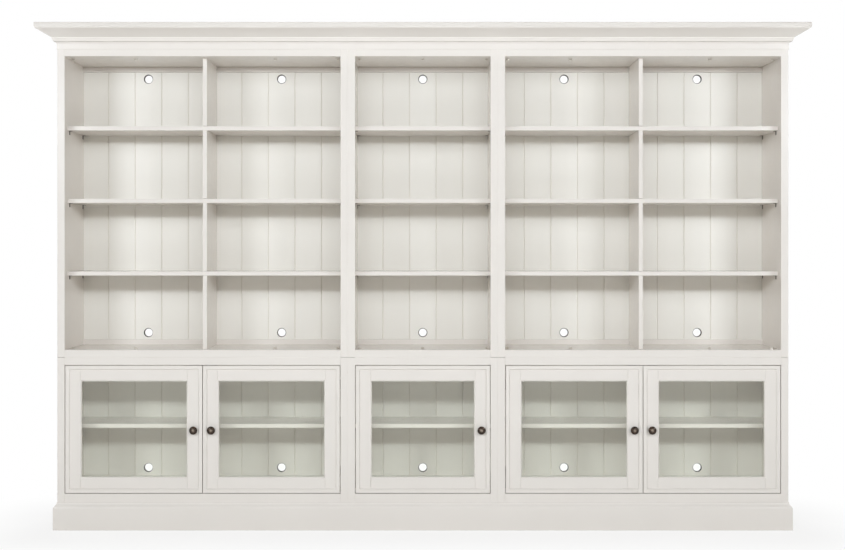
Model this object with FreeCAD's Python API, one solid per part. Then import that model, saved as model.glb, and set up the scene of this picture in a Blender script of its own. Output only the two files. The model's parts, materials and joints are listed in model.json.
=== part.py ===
import FreeCAD, Part
import os

Vector = FreeCAD.Vector

# Display bookcase wall unit: three glazed base cabinets, three open hutches on them,
# one crown and one skirting round all three. Millimetres, +Z up. The origin is on the
# floor, under the middle of the whole piece. The front faces -Y.

# Overall sizes
double_unit_width = 1316.0
single_unit_width = 680.0
body_depth = 368.0
base_height = 780.0
hutch_height = 1396.0

# Boards
side_thickness = 28.0
divider_thickness = 19.0
deck_thickness = 19.0
shelf_thickness = 19.0
back_thickness = 12.0
back_recess = 6.0
rabbet_width = 10.0
dado_depth = 6.0
joint_clearance = 0.2
edge_ease = 0.8
overrun = 5.0

# Face frames
frame_thickness = 19.0
stile_width = 33.0
base_top_rail = 34.0
base_bottom_rail = 73.0
base_opening_bottom = 163.0
hutch_top_rail = 31.0
hutch_bottom_rail = 34.0

# Base interior
base_floor_top = 185.0
front_clearance = 0.5
cleat_size = 19.0
base_shelf_rise = 263.0
base_shelf_setback = 97.0
partition_setback = 22.0

# Hutch interior
first_shelf_rise = 336.0
shelf_pitch = 332.5
hutch_shelf_count = 3
hutch_shelf_setback = 62.0
shelf_end_gap = 1.0
shelf_back_gap = 2.0
halving_clearance = 0.4
halving_gap_above = 1.5
back_strip_height = 25.0
back_strip_thickness = 12.0

# Grooved backs and their cable holes
plank_pitch = 128.0
groove_width = 6.0
groove_depth = 3.0
cable_hole_radius = 22.0
hutch_hole_inset = 57.0
base_hole_rise = 38.0

# Shelf brackets, pegged into the sides
peg_radius = 2.5
peg_length = 8.0
peg_clearance = 0.1
peg_drop = 10.0
bracket_width = 12.0
bracket_height = 18.0
bracket_reach = 12.0
bracket_thickness = 1.5
bracket_inset_front = 40.0
bracket_inset_back = 16.0

# Bolts from the hutch into the base below and the crown above
bolt_setback = 80.0
bolt_corner_inset = 22.0
bolt_radius = 3.0
bolt_clearance = 0.2
bolt_head_radius = 9.0
bolt_head_height = 7.0
nut_radius = 5.5
nut_height = 5.0

# Doors
door_gap = 3.0
edge_strip_width = 19.0
door_member_width = 53.0
field_setback = 4.5
bevel_width = 5.0
bevel_depth = 4.0
joint_line_width = 1.0
joint_line_depth = 2.0
glass_thickness = 4.0
glass_setback = 10.5
glass_rabbet = 8.0
glass_edge_gap = 1.0
glass_bed = 0.2

# Knobs, as radius and distance from the face of the door's stile
knob_height = 285.0
knob_inset = 38.5
knob_foot_radius = 9.0
knob_foot_length = 3.0
knob_neck_radius = 5.5
knob_neck_length = 7.0
knob_head_radius = 18.5
knob_flare_length = 7.0
knob_rim_length = 2.0
knob_shoulder_radius = 12.0
knob_shoulder_length = 5.0
knob_groove_width = 1.5
knob_groove_depth = 1.2
knob_button_radius = 5.0
knob_button_length = 1.5
knob_button_flat_radius = 3.0
knob_screw_radius = 2.0
knob_screw_length = 12.0
knob_cove_bulge_share = 0.12
knob_flare_bulge_share = 0.14
knob_dome_bulge_share = 0.18

# Concealed hinges
hinge_end_inset = 90.0
cup_inset = 22.5
cup_radius = 17.5
cup_depth = 11.5
cup_wall = 1.2
cup_fit = 0.1
flange_height = 48.0
flange_width = 14.0
flange_thickness = 1.0
hinge_running_gap = 0.5
arm_width = 14.0
arm_thickness = 6.0
arm_reach = 26.0
plate_height = 46.0
plate_length = 36.0
plate_thickness = 5.0
plate_setback = 37.0

# Catches
catch_inset = 40.0
catch_width = 46.0
catch_height = 33.0
catch_depth = 15.0
strike_width = 30.0
strike_height = 14.0
strike_thickness = 1.2
strike_top_inset = 1.5

# Crown, from the bottom up
frieze_height = 21.0
frieze_proud = 2.0
frieze_thickness = 19.0
ogee_height = 14.0
ogee_width = 13.0
band_height = 17.0
band_width = 6.0
cove_height = 33.0
cove_width = 59.0
lip_height = 5.0
fascia_step = 3.0
fascia_height = 20.0
fascia_thickness = 22.0
top_board_thickness = 12.0
top_board_gap = 0.5
top_board_ledge = 15.0
crown_hollow_rise = 64.0
crown_cleat_width = 84.0
crown_cleat_thickness = 19.0
ogee_bulge_share = 0.18
band_bulge_share = 0.08
cove_bulge_share = 0.06

# Skirting
skirt_height = 124.0
skirt_thickness = 16.0
skirt_mould_height = 29.0
skirt_lip = 3.0
skirt_bulge_share = 0.128

# Places worked out from the sizes above
body_width = 2 * double_unit_width + single_unit_width
crown_bottom = base_height + hutch_height
crown_height = frieze_height + ogee_height + band_height + cove_height + lip_height + fascia_height
crown_top = crown_bottom + crown_height
crown_proud = frieze_proud + ogee_width + band_width + cove_width + fascia_step
overall_depth = body_depth + crown_proud
face_y = crown_proud - overall_depth / 2
rear_y = face_y + body_depth
back_y = rear_y - back_recess - back_thickness
behind_frame_y = face_y + frame_thickness
base_floor_bottom = base_floor_top - deck_thickness
base_top_bottom = base_height - deck_thickness
base_opening_top = base_height - base_top_rail
hutch_floor_top = base_height + hutch_bottom_rail
ceiling_bottom = crown_bottom - hutch_top_rail
door_bottom = base_opening_bottom + door_gap
door_top = base_opening_top - door_gap
door_member_outer = edge_strip_width + door_member_width
shelf_bottoms = [
    hutch_floor_top + first_shelf_rise + k * shelf_pitch
    for k in range(hutch_shelf_count)
]

parts = {}


def add(name, shapes):
    """Keep one named sub-part, made of one or more separate solids."""
    parts[name] = shapes[0] if len(shapes) == 1 else Part.makeCompound(shapes)


def block(x, y, z):
    """A square-edged block between three pairs of limits."""
    size = [abs(span[1] - span[0]) for span in (x, y, z)]
    return Part.makeBox(*size, Vector(min(x), min(y), min(z)))


def point(axis, along, first, second):
    """The point at a distance along an axis and at two places across it, in X, Y, Z order."""
    if axis == "x":
        return Vector(along, first, second)
    if axis == "y":
        return Vector(first, along, second)
    return Vector(first, second, along)


def prism(outline, axis, span):
    """The closed outline run straight along an axis between two limits."""
    corners = [point(axis, span[0], a, b) for a, b in outline]
    face = Part.Face(Part.makePolygon(corners + corners[:1]))
    return face.extrude(point(axis, span[1] - span[0], 0, 0))


def board(x, y, z, grain):
    """A board whose four long edges, along its grain, are eased."""
    spans = {"x": (x, y, z), "y": (y, x, z), "z": (z, x, y)}
    run, (a0, a1), (b0, b1) = spans[grain]
    e = edge_ease
    outline = [
        (a0 + e, b0), (a1 - e, b0), (a1, b0 + e), (a1, b1 - e),
        (a1 - e, b1), (a0 + e, b1), (a0, b1 - e), (a0, b0 + e),
    ]
    return prism(outline, grain, run)


def rod(axis, span, first, second, radius):
    """A round bar along an axis, its centre at two places across it."""
    start = point(axis, min(span), first, second)
    return Part.makeCylinder(radius, abs(span[1] - span[0]), start, point(axis, 1, 0, 0))


def cut(shape, tools):
    """The shape with every tool cut out of it, as one clean solid."""
    return shape.cut(tools).removeSplitter().Solids[0] if tools else shape


# Units and bays

def make_unit(name, left, width, bay_count):
    """The places in X that one unit's boards share."""
    right = left + width
    inner = (left + side_thickness, right - side_thickness)
    middle = (left + right) / 2
    half = divider_thickness / 2
    if bay_count == 2:
        bays = [(inner[0], middle - half), (middle + half, inner[1])]
    else:
        bays = [inner]
    return {
        "name": name,
        "outer": (left, right),
        "inner": inner,
        "opening": (left + stile_width, right - stile_width),
        "divider": (middle - half, middle + half),
        "bays": bays,
    }


half_body = body_width / 2
units = [
    make_unit("left", -half_body, double_unit_width, 2),
    make_unit("centre", -single_unit_width / 2, single_unit_width, 1),
    make_unit("right", half_body - double_unit_width, double_unit_width, 2),
]


def bay_middles(unit):
    return [(bay[0] + bay[1]) / 2 for bay in unit["bays"]]


def bolt_places(unit):
    """One bolt at the middle of each bay and one in each front corner of the unit."""
    corners = [unit["inner"][0] + bolt_corner_inset, unit["inner"][1] - bolt_corner_inset]
    return sorted(bay_middles(unit) + corners)


def bracket_places(front_y):
    """The two places in Y where a shelf rests on its brackets."""
    return [front_y + bracket_inset_front, back_y - shelf_back_gap - bracket_inset_back]


# Carcass boards

def peg_holes(faces, front_y, bottoms):
    """Holes for bracket pegs. Each face is its place in X and the way into the board."""
    depth = peg_length + joint_clearance
    return [
        rod("x", (x, x + way * depth), y, bottom - peg_drop, peg_radius + peg_clearance)
        for x, way in faces
        for y in bracket_places(front_y)
        for bottom in bottoms
    ]


def deck_grooves(unit, decks):
    """Grooves in both sides for the ends of the floor and top boards."""
    reach = dado_depth + joint_clearance
    x = (unit["inner"][0] - reach, unit["inner"][1] + reach)
    return [
        block(x, (behind_frame_y, back_y), (z - joint_clearance, z + deck_thickness + joint_clearance))
        for z in decks
    ]


def make_sides(unit, z, decks, front_y, bottoms):
    """Two side panels, grooved for the decks, rebated for the back and drilled for pegs."""
    left, right = unit["outer"]
    inner = unit["inner"]
    rebate = block(
        (inner[0] - rabbet_width, inner[1] + rabbet_width),
        (back_y, rear_y + overrun),
        (z[0] - overrun, z[1] + overrun),
    )
    holes = peg_holes([(inner[0], -1), (inner[1], 1)], front_y, bottoms)
    tools = deck_grooves(unit, decks) + [rebate] + holes
    y = (behind_frame_y, rear_y)
    return [
        cut(board((left, inner[0]), y, z, "z"), tools),
        cut(board((inner[1], right), y, z, "z"), tools),
    ]


def make_deck(unit, bottom, front_y, drilled):
    """A floor, top or ceiling let into both sides, drilled where bolts pass."""
    x = (unit["inner"][0] - dado_depth, unit["inner"][1] + dado_depth)
    z = (bottom, bottom + deck_thickness)
    deck = board(x, (front_y, back_y), z, "x")
    if not drilled:
        return deck
    y = face_y + bolt_setback
    through = (z[0] - overrun, z[1] + overrun)
    holes = [rod("z", through, x, y, bolt_radius + bolt_clearance) for x in bolt_places(unit)]
    return cut(deck, holes)


def make_back(unit, z, hole_heights):
    """A grooved back panel with a round cable hole at each height in each bay."""
    edge = rabbet_width - joint_clearance
    x = (unit["inner"][0] - edge, unit["inner"][1] + edge)
    panel = block(x, (back_y, back_y + back_thickness), z)
    tools = []
    half = groove_width / 2
    for bay, middle in zip(unit["bays"], bay_middles(unit)):
        reach = (bay[1] - bay[0]) / 2 - groove_width
        offset = plank_pitch / 2
        while offset < reach:
            for groove_x in (middle - offset, middle + offset):
                outline = [
                    (groove_x - half, back_y), (groove_x + half, back_y),
                    (groove_x, back_y + groove_depth),
                ]
                tools.append(prism(outline, "z", z))
            offset += plank_pitch
        for height in hole_heights:
            through = (back_y - overrun, back_y + back_thickness + overrun)
            tools.append(rod("y", through, middle, height, cable_hole_radius))
    return panel.cut(tools).Solids[0]


def make_face_frame(unit, z, bottom_rail, top_rail):
    """Two stiles with a bottom rail and a top rail between them."""
    left, right = unit["outer"]
    opening = unit["opening"]
    y = (face_y, behind_frame_y)
    return [
        board((left, opening[0]), y, z, "z"),
        board((opening[1], right), y, z, "z"),
        board(opening, y, bottom_rail, "x"),
        board(opening, y, top_rail, "x"),
    ]


def make_bracket(x, way, y, bottom):
    """A shelf bracket on a side face: peg, upright leaf and the ledge under the shelf."""
    leaf = block(
        (x, x + way * bracket_thickness),
        (y - bracket_width / 2, y + bracket_width / 2),
        (bottom - bracket_height, bottom),
    )
    ledge = block(
        (x, x + way * bracket_reach),
        (y - bracket_width / 2, y + bracket_width / 2),
        (bottom - bracket_thickness, bottom),
    )
    peg = rod("x", (x - way * peg_length, x), y, bottom - peg_drop, peg_radius)
    return leaf.fuse([ledge, peg]).removeSplitter().Solids[0]


def make_brackets(faces, front_y, bottoms):
    return [
        make_bracket(x, way, y, bottom)
        for x, way in faces
        for y in bracket_places(front_y)
        for bottom in bottoms
    ]


# Base cabinets

base_shelf_bottom = base_floor_top + base_shelf_rise
base_shelf_front = face_y + base_shelf_setback


def make_base(unit):
    name = unit["name"]
    inner = unit["inner"]
    partition_faces = [(unit["divider"][0], 1), (unit["divider"][1], -1)]
    sides = make_sides(
        unit, (0, base_height), [base_floor_bottom, base_top_bottom],
        base_shelf_front, [base_shelf_bottom],
    )
    if len(unit["bays"]) == 2:
        partition = board(
            unit["divider"],
            (face_y + partition_setback, back_y),
            (base_floor_top, base_top_bottom),
            "z",
        )
        sides.append(cut(partition, peg_holes(partition_faces, base_shelf_front, [base_shelf_bottom])))
    add(name + "_base_sides", sides)

    cleat = board(
        inner,
        (behind_frame_y, behind_frame_y + cleat_size),
        (base_floor_bottom - cleat_size, base_floor_bottom),
        "x",
    )
    stretcher = board(inner, (back_y - deck_thickness, back_y), (0, base_floor_bottom), "x")
    add(name + "_base_floor_and_top", [
        make_deck(unit, base_floor_bottom, behind_frame_y + front_clearance, False),
        make_deck(unit, base_top_bottom, behind_frame_y, True),
        cleat,
        stretcher,
    ])
    add(name + "_base_back", [
        make_back(unit, (base_floor_bottom, base_height), [base_floor_top + base_hole_rise]),
    ])
    add(name + "_base_face_frame", make_face_frame(
        unit,
        (0, base_height),
        (base_opening_bottom - base_bottom_rail, base_opening_bottom),
        (base_opening_top, base_height),
    ))
    add(name + "_base_shelves", [
        board(
            (bay[0] + shelf_end_gap, bay[1] - shelf_end_gap),
            (base_shelf_front, back_y - shelf_back_gap),
            (base_shelf_bottom, base_shelf_bottom + shelf_thickness),
            "x",
        )
        for bay in unit["bays"]
    ])


# Hutches

hutch_shelf_front = face_y + hutch_shelf_setback
halving_y = (hutch_shelf_front + back_y) / 2


def make_hutch_shelf(unit, bottom):
    """One shelf the width of the hutch, notched from behind where a divider crosses it."""
    inner = unit["inner"]
    shelf = board(
        (inner[0] + shelf_end_gap, inner[1] - shelf_end_gap),
        (hutch_shelf_front, back_y - shelf_back_gap),
        (bottom, bottom + shelf_thickness),
        "x",
    )
    if len(unit["bays"]) == 1:
        return shelf
    notch = block(
        (unit["divider"][0] - halving_clearance, unit["divider"][1] + halving_clearance),
        (halving_y, back_y + overrun),
        (bottom - overrun, bottom + shelf_thickness + overrun),
    )
    return cut(shelf, [notch])


def make_divider(unit):
    """The upright divider, slotted from the front where the shelves cross it."""
    divider = board(
        unit["divider"], (hutch_shelf_front, back_y), (hutch_floor_top, ceiling_bottom), "z",
    )
    slots = [
        block(
            (unit["divider"][0] - overrun, unit["divider"][1] + overrun),
            (hutch_shelf_front - overrun, halving_y + halving_clearance),
            (bottom - halving_clearance, bottom + shelf_thickness + halving_gap_above),
        )
        for bottom in shelf_bottoms
    ]
    return cut(divider, slots)


def make_hutch(unit):
    name = unit["name"]
    floor_bottom = hutch_floor_top - deck_thickness
    add(name + "_hutch_sides", make_sides(
        unit, (base_height, crown_bottom), [floor_bottom, ceiling_bottom],
        hutch_shelf_front, shelf_bottoms,
    ))
    add(name + "_hutch_floor_and_ceiling", [
        make_deck(unit, floor_bottom, behind_frame_y, True),
        make_deck(unit, ceiling_bottom, behind_frame_y, True),
    ])
    add(name + "_hutch_back", [
        make_back(
            unit, (base_height, crown_bottom),
            [hutch_floor_top + hutch_hole_inset, ceiling_bottom - hutch_hole_inset],
        ),
    ])
    add(name + "_hutch_face_frame", make_face_frame(
        unit,
        (base_height, crown_bottom),
        (base_height, hutch_floor_top),
        (ceiling_bottom, crown_bottom),
    ))
    add(name + "_hutch_shelves", [make_hutch_shelf(unit, bottom) for bottom in shelf_bottoms])
    if len(unit["bays"]) == 2:
        add(name + "_hutch_divider", [make_divider(unit)])


def make_back_strips():
    """Strips in front of each hutch bay's back, at the ceiling and at the floor."""
    y = (back_y - back_strip_thickness, back_y)
    levels = [
        (hutch_floor_top, hutch_floor_top + back_strip_height),
        (ceiling_bottom - back_strip_height, ceiling_bottom),
    ]
    add("hutch_back_strips", [
        board(bay, y, z, "x")
        for unit in units
        for bay in unit["bays"]
        for z in levels
    ])


def make_shelf_brackets():
    brackets = []
    for unit in units:
        inner = unit["inner"]
        side_faces = [(inner[0], 1), (inner[1], -1)]
        brackets += make_brackets(side_faces, hutch_shelf_front, shelf_bottoms)
        base_faces = list(side_faces)
        if len(unit["bays"]) == 2:
            base_faces += [(unit["divider"][0], -1), (unit["divider"][1], 1)]
        brackets += make_brackets(base_faces, base_shelf_front, [base_shelf_bottom])
    add("shelf_brackets", brackets)


def make_bolt(x, head_z, way, nut_z):
    """A bolt whose head lies on head_z, with its nut seated on nut_z the given way on."""
    y = face_y + bolt_setback
    head = rod("z", (head_z - way * bolt_head_height, head_z), x, y, bolt_head_radius)
    shank = rod("z", (head_z, nut_z + way * nut_height), x, y, bolt_radius)
    nut = rod("z", (nut_z, nut_z + way * nut_height), x, y, nut_radius)
    return head.fuse([shank, nut]).removeSplitter().Solids[0]


def make_joining_bolts():
    """Bolts down through the hutch floors and up through their ceilings."""
    bolts = []
    for unit in units:
        for x in bolt_places(unit):
            bolts.append(make_bolt(x, hutch_floor_top, -1, base_top_bottom))
            bolts.append(make_bolt(x, ceiling_bottom, 1, crown_bottom + crown_cleat_thickness))
    add("joining_bolts", bolts)


# Mouldings that run along the front and return down both ends

def moulding_outline(start, steps):
    """Lines and shallow arcs from point to point: each step is a point and its bulge."""
    edges = []
    here = start
    for there, bulge in steps:
        first, last = Vector(here[0], here[1], 0), Vector(there[0], there[1], 0)
        if bulge == 0:
            edges.append(Part.LineSegment(first, last).toShape())
        else:
            chord = last - first
            side = Vector(-chord.y, chord.x, 0) * bulge
            edges.append(Part.Arc(first, (first + last) / 2 + side, last).toShape())
        here = there
    return Part.Face(Part.Wire(edges))


def ogee(start, end, share):
    """Two steps of an S-shaped curve, which turns over half way."""
    middle = ((start[0] + end[0]) / 2, (start[1] + end[1]) / 2)
    return [(middle, share), (end, -share)]


def run_moulding(face, outer, inner):
    """Three mitred lengths of one section, drawn with X outwards and Y upwards.

    The limits outer and inner are how far the section reaches out and in."""
    left, right = -half_body, half_body
    height = face.BoundBox.YMax + overrun
    reach_out = outer + overrun
    reach_in = inner + overrun
    front_plan = [
        (left - reach_out, face_y - reach_out), (right + reach_out, face_y - reach_out),
        (right - reach_in, face_y + reach_in), (left + reach_in, face_y + reach_in),
    ]
    upright = face.copy()
    upright.rotate(Vector(0, 0, 0), Vector(1, 0, 0), 90)
    along_x = upright.copy()
    along_x.rotate(Vector(0, 0, 0), Vector(0, 0, 1), -90)
    along_x.translate(Vector(left - reach_out, face_y, 0))
    front = along_x.extrude(Vector(body_width + 2 * reach_out, 0, 0))
    pieces = [front.common(prism(front_plan, "z", (-overrun, height))).Solids[0]]
    for x, way in ((left, -1), (right, 1)):
        plan = [
            (x + way * reach_out, face_y - reach_out), (x - way * reach_in, face_y + reach_in),
            (x - way * reach_in, rear_y), (x + way * reach_out, rear_y),
        ]
        section = upright.copy()
        if way < 0:
            section.rotate(Vector(0, 0, 0), Vector(0, 0, 1), 180)
        section.translate(Vector(x, face_y - reach_out, 0))
        length = section.extrude(Vector(0, body_depth + reach_out, 0))
        pieces.append(length.common(prism(plan, "z", (-overrun, height))).Solids[0])
    return pieces


def make_crown():
    """The crown moulding: frieze, small ogee, band, cove, lip and fascia."""
    inner = frieze_proud - frieze_thickness
    levels = [crown_bottom, crown_bottom + frieze_height]
    for rise in (ogee_height, band_height, cove_height, lip_height):
        levels.append(levels[-1] + rise)
    ogee_end = frieze_proud + ogee_width
    band_end = ogee_end + band_width
    cove_end = band_end + cove_width
    fascia_inner = crown_proud - fascia_thickness
    ledge_z = crown_top - top_board_thickness
    ledge_inner = fascia_inner - top_board_ledge
    steps = [((frieze_proud, levels[0]), 0), ((frieze_proud, levels[1]), 0)]
    steps += ogee((frieze_proud, levels[1]), (ogee_end, levels[2]), ogee_bulge_share)
    steps += [
        ((band_end, levels[3]), -band_bulge_share),
        ((cove_end, levels[4]), cove_bulge_share),
        ((cove_end, levels[5]), 0),
        ((crown_proud, levels[5]), 0),
        ((crown_proud, crown_top), 0),
        ((fascia_inner, crown_top), 0),
        ((fascia_inner, ledge_z), 0),
        ((ledge_inner, ledge_z), 0),
        ((inner, crown_bottom + crown_hollow_rise), 0),
        ((inner, crown_bottom), 0),
    ]
    add("crown", run_moulding(moulding_outline((inner, crown_bottom), steps), crown_proud, -inner))

    edge = fascia_inner - top_board_gap
    x = (-half_body - edge, half_body + edge)
    top_board = block(x, (face_y - edge, rear_y), (ledge_z, crown_top))
    rail_x = (-half_body - inner, half_body + inner)
    rear_rail = board(rail_x, (back_y, rear_y), (crown_bottom, ledge_z), "x")
    cleat_front = face_y - inner
    holes_z = (crown_bottom - overrun, crown_bottom + crown_cleat_thickness + overrun)
    cleat = cut(
        board(
            rail_x,
            (cleat_front, cleat_front + crown_cleat_width),
            (crown_bottom, crown_bottom + crown_cleat_thickness),
            "x",
        ),
        [
            rod("z", holes_z, bolt_x, face_y + bolt_setback, bolt_radius + bolt_clearance)
            for unit in units
            for bolt_x in bolt_places(unit)
        ],
    )
    add("crown_top_board_and_rails", [top_board, rear_rail, cleat])


def make_skirting():
    """The skirting: a flat board with an ogee along its top edge."""
    shoulder = skirt_height - skirt_mould_height
    steps = [((skirt_thickness, 0), 0), ((skirt_thickness, shoulder), 0)]
    steps += ogee((skirt_thickness, shoulder), (skirt_lip, skirt_height), -skirt_bulge_share)
    steps += [((0, skirt_height), 0), ((0, 0), 0)]
    add("skirting", run_moulding(moulding_outline((0, 0), steps), skirt_thickness, 0))


# Doors. Each is drawn from its hinge edge inwards: way is 1 where that is to the right.

def door_outline(points, hinge_x, way, span):
    """A flat piece of the door, from (distance from hinge edge, height) points.

    The points run the same way round in space for doors of either hand."""
    return prism([(hinge_x + way * u, z) for u, z in points[::-way]], "y", span)


def joint_line(x, z):
    """A fine upright groove in the door's face, where a rail meets a stile."""
    half = joint_line_width / 2
    depth = field_setback + joint_line_depth
    return block((x - half, x + half), (face_y, face_y + depth), z)


def bevel_cutter(hinge_x, way, width):
    """The opening for the glass, wider at the face, where its edges are bevelled."""
    flat, edge = door_member_outer - bevel_width, door_member_outer
    front = face_y + field_setback
    y = (front, front, front + bevel_depth, front + bevel_depth)
    x = [hinge_x + way * u for u in (flat, width - flat, width - edge, edge)]
    z = [door_bottom + flat, door_top - flat, door_top - edge, door_bottom + edge]
    upright = prism(zip(x, y), "z", (door_bottom, door_top))
    level = prism(zip(y, z), "x", (hinge_x, hinge_x + way * width))
    return upright.common(level)


def hinge_heights():
    return [door_bottom + hinge_end_inset, door_top - hinge_end_inset]


def make_door_frame(hinge_x, way, width):
    """Edge strips, the stiles and rails set back from them, and the stops behind the glass."""
    e, m, b = edge_strip_width, door_member_outer, bevel_width
    low, high = door_bottom, door_top
    field_y = face_y + field_setback
    strips = [
        [(0, low), (width, low), (width - e, low + e), (e, low + e)],
        [(0, high), (width, high), (width - e, high - e), (e, high - e)],
        [(0, low), (e, low + e), (e, high - e), (0, high)],
        [(width, low), (width - e, low + e), (width - e, high - e), (width, high)],
    ]
    stile = [
        (e, low + e), (m - b, low + e), (m - b, low + m - b), (m, low + m),
        (m, high - m), (m - b, high - m + b), (m - b, high - e), (e, high - e),
    ]
    bottom_rail = [
        (m - b, low + e), (width - m + b, low + e), (width - m + b, low + m - b),
        (width - m, low + m), (m, low + m), (m - b, low + m - b),
    ]
    members = [
        stile,
        [(width - u, z) for u, z in stile],
        bottom_rail,
        [(u, low + high - z) for u, z in bottom_rail],
    ]
    tools = [bevel_cutter(hinge_x, way, width)]
    for u in (m - b, width - m + b):
        for z0, z1 in ((low + e, low + m - b), (high - m + b, high - e)):
            tools.append(joint_line(hinge_x + way * u, (z0, z1)))
    rebate = m - glass_rabbet
    glass_y = face_y + glass_setback
    tools.append(block(
        (hinge_x + way * rebate, hinge_x + way * (width - rebate)),
        (glass_y, behind_frame_y + overrun),
        (low + rebate, high - rebate),
    ))
    for z in hinge_heights():
        tools.append(rod(
            "y", (behind_frame_y - cup_depth, behind_frame_y + overrun),
            hinge_x + way * cup_inset, z, cup_radius,
        ))
    knob_x = hinge_x + way * (width - knob_inset)
    tools.append(rod(
        "y", (field_y - overrun, field_y + knob_screw_length),
        knob_x, low + knob_height, knob_screw_radius + peg_clearance,
    ))
    outlines = [(points, (face_y, behind_frame_y)) for points in strips]
    outlines += [(points, (field_y, behind_frame_y)) for points in members]
    solids = [cut(door_outline(points, hinge_x, way, y), tools) for points, y in outlines]

    stop_y = (glass_y + glass_thickness + 2 * glass_bed, behind_frame_y)
    for z0, z1 in ((low + rebate, low + m), (high - m, high - rebate)):
        x = sorted((hinge_x + way * rebate, hinge_x + way * (width - rebate)))
        solids.append(block(x, stop_y, (z0, z1)))
    for u0, u1 in ((rebate, m), (width - m, width - rebate)):
        x = sorted((hinge_x + way * u0, hinge_x + way * u1))
        solids.append(block(x, stop_y, (low + m, high - m)))
    return solids


def make_glass(hinge_x, way, width):
    margin = door_member_outer - glass_rabbet + glass_edge_gap
    front = face_y + glass_setback + glass_bed
    return block(
        (hinge_x + way * margin, hinge_x + way * (width - margin)),
        (front, front + glass_thickness),
        (door_bottom + margin, door_top - margin),
    )


def make_knob(x):
    """A turned knob on the door's stile, with its screw let into the wood behind it."""
    neck = knob_foot_length + knob_neck_length
    flare = neck + knob_flare_length
    rim = flare + knob_rim_length
    shoulder = rim + knob_shoulder_length
    groove = knob_shoulder_radius - knob_groove_width
    steps = [
        ((knob_screw_radius, -knob_screw_length), 0),
        ((knob_screw_radius, 0), 0),
        ((knob_foot_radius, 0), 0),
        ((knob_foot_radius, knob_foot_length), 0),
        ((knob_neck_radius, neck), knob_cove_bulge_share),
        ((knob_head_radius, flare), -knob_flare_bulge_share),
        ((knob_head_radius, rim), 0),
        ((knob_shoulder_radius, shoulder), -knob_dome_bulge_share),
        ((groove, shoulder - knob_groove_depth), 0),
        ((groove - knob_groove_width, shoulder), 0),
        ((knob_button_radius, shoulder), 0),
        ((knob_button_flat_radius, shoulder + knob_button_length), -knob_flare_bulge_share),
        ((0, shoulder + knob_button_length), 0),
        ((0, -knob_screw_length), 0),
    ]
    section = moulding_outline((0, -knob_screw_length), steps)
    knob = section.revolve(Vector(0, 0, 0), Vector(0, 1, 0), 360)
    knob.rotate(Vector(0, 0, 0), Vector(1, 0, 0), 180)
    knob.translate(Vector(x, face_y + field_setback, door_bottom + knob_height))
    return knob


def make_fittings(hinge_x, way, width):
    """Hinge cups let into the door's back, and the catch's strike plate."""
    solids = []
    outer_radius = cup_radius - cup_fit
    for z in hinge_heights():
        x = hinge_x + way * cup_inset
        cup = rod("y", (behind_frame_y - cup_depth + cup_fit, behind_frame_y), x, z, outer_radius)
        flange = block(
            (x - flange_width / 2, x + flange_width / 2),
            (behind_frame_y, behind_frame_y + flange_thickness),
            (z - flange_height / 2, z + flange_height / 2),
        )
        hollow_y = (behind_frame_y - cup_depth + cup_fit + cup_wall, behind_frame_y + overrun)
        hollow = rod("y", hollow_y, x, z, outer_radius - cup_wall)
        solids.append(cut(cup.fuse(flange), [hollow]))
    strike_x = hinge_x + way * (width - catch_inset)
    strike_top = door_top - strike_top_inset
    solids.append(block(
        (strike_x - strike_width / 2, strike_x + strike_width / 2),
        (behind_frame_y, behind_frame_y + strike_thickness),
        (strike_top - strike_height, strike_top),
    ))
    return solids


def make_hinge_arm(hinge_x, way, z):
    """The fixed half of a hinge: plate on a packer on the side panel, arm to the cup."""
    panel_x = hinge_x - way * (door_gap + stile_width - side_thickness)
    opening_x = hinge_x - way * door_gap
    plate_x = opening_x + way * plate_thickness
    plate_y = (face_y + plate_setback, face_y + plate_setback + plate_length)
    plate = block((panel_x, plate_x), plate_y, (z - plate_height / 2, z + plate_height / 2))
    arm_y = (behind_frame_y + flange_thickness + hinge_running_gap, plate_y[1])
    arm_z = (z - arm_width / 2, z + arm_width / 2)
    arm = block((plate_x, plate_x + way * arm_thickness), arm_y, arm_z)
    nose = block((plate_x, opening_x + way * arm_reach), (arm_y[0], arm_y[0] + arm_thickness), arm_z)
    return plate.fuse([arm, nose]).removeSplitter().Solids[0]


def make_catch(hinge_x, way, width):
    x = hinge_x + way * (width - catch_inset)
    front = behind_frame_y + strike_thickness + hinge_running_gap
    return block(
        (x - catch_width / 2, x + catch_width / 2),
        (front, front + catch_depth),
        (base_top_bottom - catch_height, base_top_bottom),
    )


def door_places():
    """Each door's name, hinge edge in X, which way it runs from there, and its width."""
    places = []
    for unit in units:
        left, right = unit["opening"]
        if len(unit["bays"]) == 2:
            width = (right - left - 3 * door_gap) / 2
            pair = ("outer", "inner") if unit["name"] == "left" else ("inner", "outer")
            places.append((unit["name"] + "_" + pair[0] + "_door", left + door_gap, 1, width))
            places.append((unit["name"] + "_" + pair[1] + "_door", right - door_gap, -1, width))
        else:
            places.append((unit["name"] + "_door", left + door_gap, 1, right - left - 2 * door_gap))
    return places


def make_doors():
    arms, catches = [], []
    for name, hinge_x, way, width in door_places():
        add(name + "_frame", make_door_frame(hinge_x, way, width))
        add(name + "_glass", [make_glass(hinge_x, way, width)])
        add(name + "_knob", [make_knob(hinge_x + way * (width - knob_inset))])
        add(name + "_fittings", make_fittings(hinge_x, way, width))
        arms += [make_hinge_arm(hinge_x, way, z) for z in hinge_heights()]
        catches.append(make_catch(hinge_x, way, width))
    add("hinge_arms", arms)
    add("door_catches", catches)


for unit in units:
    make_base(unit)
    make_hutch(unit)
make_back_strips()
make_shelf_brackets()
make_joining_bolts()
make_crown()
make_skirting()
make_doors()

os.makedirs("parts", exist_ok=True)
for name, shape in parts.items():
    shape.exportStep(os.path.join("parts", name + ".step"))

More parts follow.
